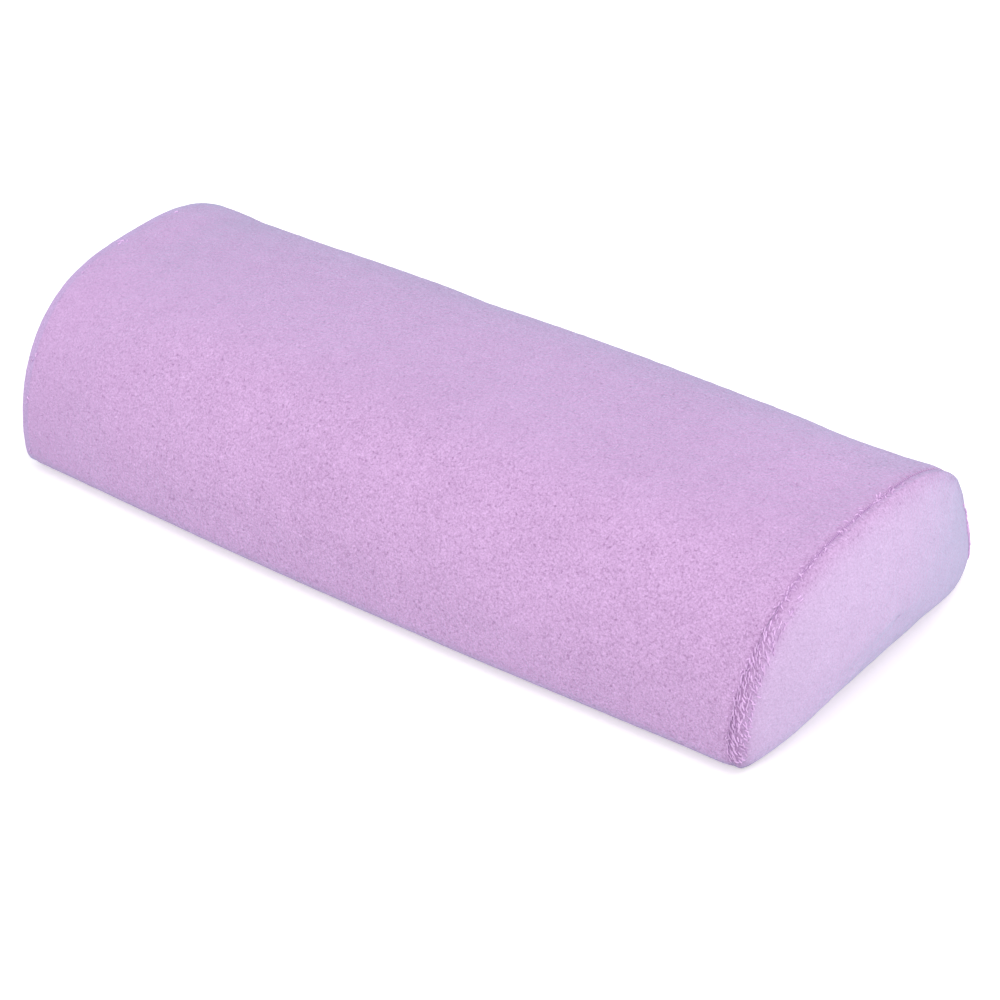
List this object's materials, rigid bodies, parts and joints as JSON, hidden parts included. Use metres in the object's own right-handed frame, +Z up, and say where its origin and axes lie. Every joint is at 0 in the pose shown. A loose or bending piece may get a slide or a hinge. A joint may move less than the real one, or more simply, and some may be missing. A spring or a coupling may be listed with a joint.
{
  "type": "manicure hand rest",
  "caption": "Half-column cushion that props the hand in nail care: foam core in a sewn towelling cover with pillowed ends and a zip underneath.",
  "frame": {"origin": "centre of the base, on the surface that the cushion lies on", "axes": "+X along the cushion towards the end where the zip slider rests when closed, +Y towards the back, +Z up"},
  "size_m": [0.3004, 0.125, 0.0555],
  "materials": {
    "foam": "open-cell foam, matte",
    "towelling": "lilac looped towelling, matte",
    "end_towelling": "paler lilac looped towelling, matte",
    "thread": "lilac sewing thread",
    "zip_tape": "woven lilac tape",
    "zip_coil": "lilac nylon coil, satin",
    "zip_metal": "satin painted metal"
  },
  "bodies": {
    "cushion": {"foam_core": "foam", "wrap_panel": "towelling", "end_panel_left": "end_towelling", "end_panel_right": "end_towelling", "seam_thread_left": "thread", "seam_thread_right": "thread", "zip_tape_front": "zip_tape", "zip_tape_back": "zip_tape", "zip_coil_front": "zip_coil", "zip_coil_back": "zip_coil"},
    "slider": {"zip_slider": "zip_metal"},
    "pull": {"zip_pull": "zip_metal"}
  },
  "joints": [
    {"name": "zip_travel", "type": "slide", "parent": "cushion", "child": "slider", "axis": [-1, 0, 0], "range_m": [0, 0.1985]},
    {"name": "pull_swing", "type": "hinge", "parent": "slider", "child": "pull", "pos_m": [0.106, 0, 0.0026], "axis": [0, -1, 0], "range_deg": [0, 120]}
  ]
}
